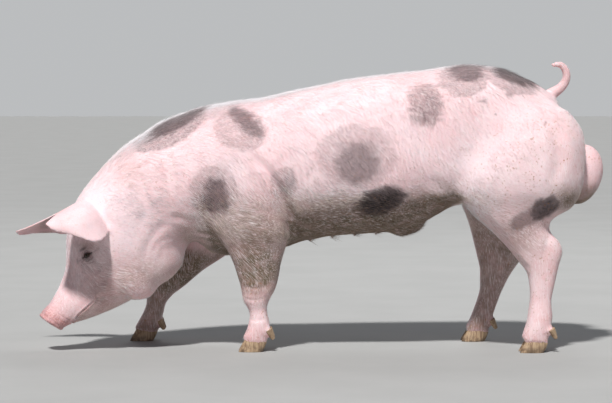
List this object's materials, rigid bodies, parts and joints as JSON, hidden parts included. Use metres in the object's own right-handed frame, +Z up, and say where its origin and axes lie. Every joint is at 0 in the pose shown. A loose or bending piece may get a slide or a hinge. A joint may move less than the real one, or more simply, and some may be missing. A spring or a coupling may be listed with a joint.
{
  "type": "pig",
  "caption": "Life-size still model of a heavily muscled spotted boar that grazes with its head low, standing on cloven hooves, with forward ears and a curled tail.",
  "frame": {"origin": "middle of the animal's bounding box in x and y, on the floor under its hooves", "axes": "+X points to the tail and -X the way the boar faces, -Y is its left side, +Z is up"},
  "size_m": [1.7676, 0.5536, 0.8575],
  "materials": {
    "skin": "pale pink bristled hide with grey and black patches",
    "bare_skin": "thinly haired deeper pink skin",
    "horn": "dull tan horn with growth rings",
    "eye": "wet dark brown"
  },
  "bodies": {
    "root": {"trunk": "skin", "neck": "skin", "head": "skin", "lower_jaw": "skin", "foreleg_left": "skin", "foreleg_right": "skin", "hindleg_left": "skin", "hindleg_right": "skin", "snout": "bare_skin", "ear_left": "bare_skin", "ear_right": "bare_skin", "tail": "bare_skin", "scrotum": "bare_skin", "hoof_fore_left_a": "horn", "hoof_fore_left_b": "horn", "hoof_fore_right_a": "horn", "hoof_fore_right_b": "horn", "hoof_hind_left_a": "horn", "hoof_hind_left_b": "horn", "hoof_hind_right_a": "horn", "hoof_hind_right_b": "horn", "dewclaw_fore_left_a": "horn", "dewclaw_fore_left_b": "horn", "dewclaw_fore_right_a": "horn", "dewclaw_fore_right_b": "horn", "dewclaw_hind_left_a": "horn", "dewclaw_hind_left_b": "horn", "dewclaw_hind_right_a": "horn", "dewclaw_hind_right_b": "horn", "eye_left": "eye", "eye_right": "eye"}
  },
  "joints": []
}
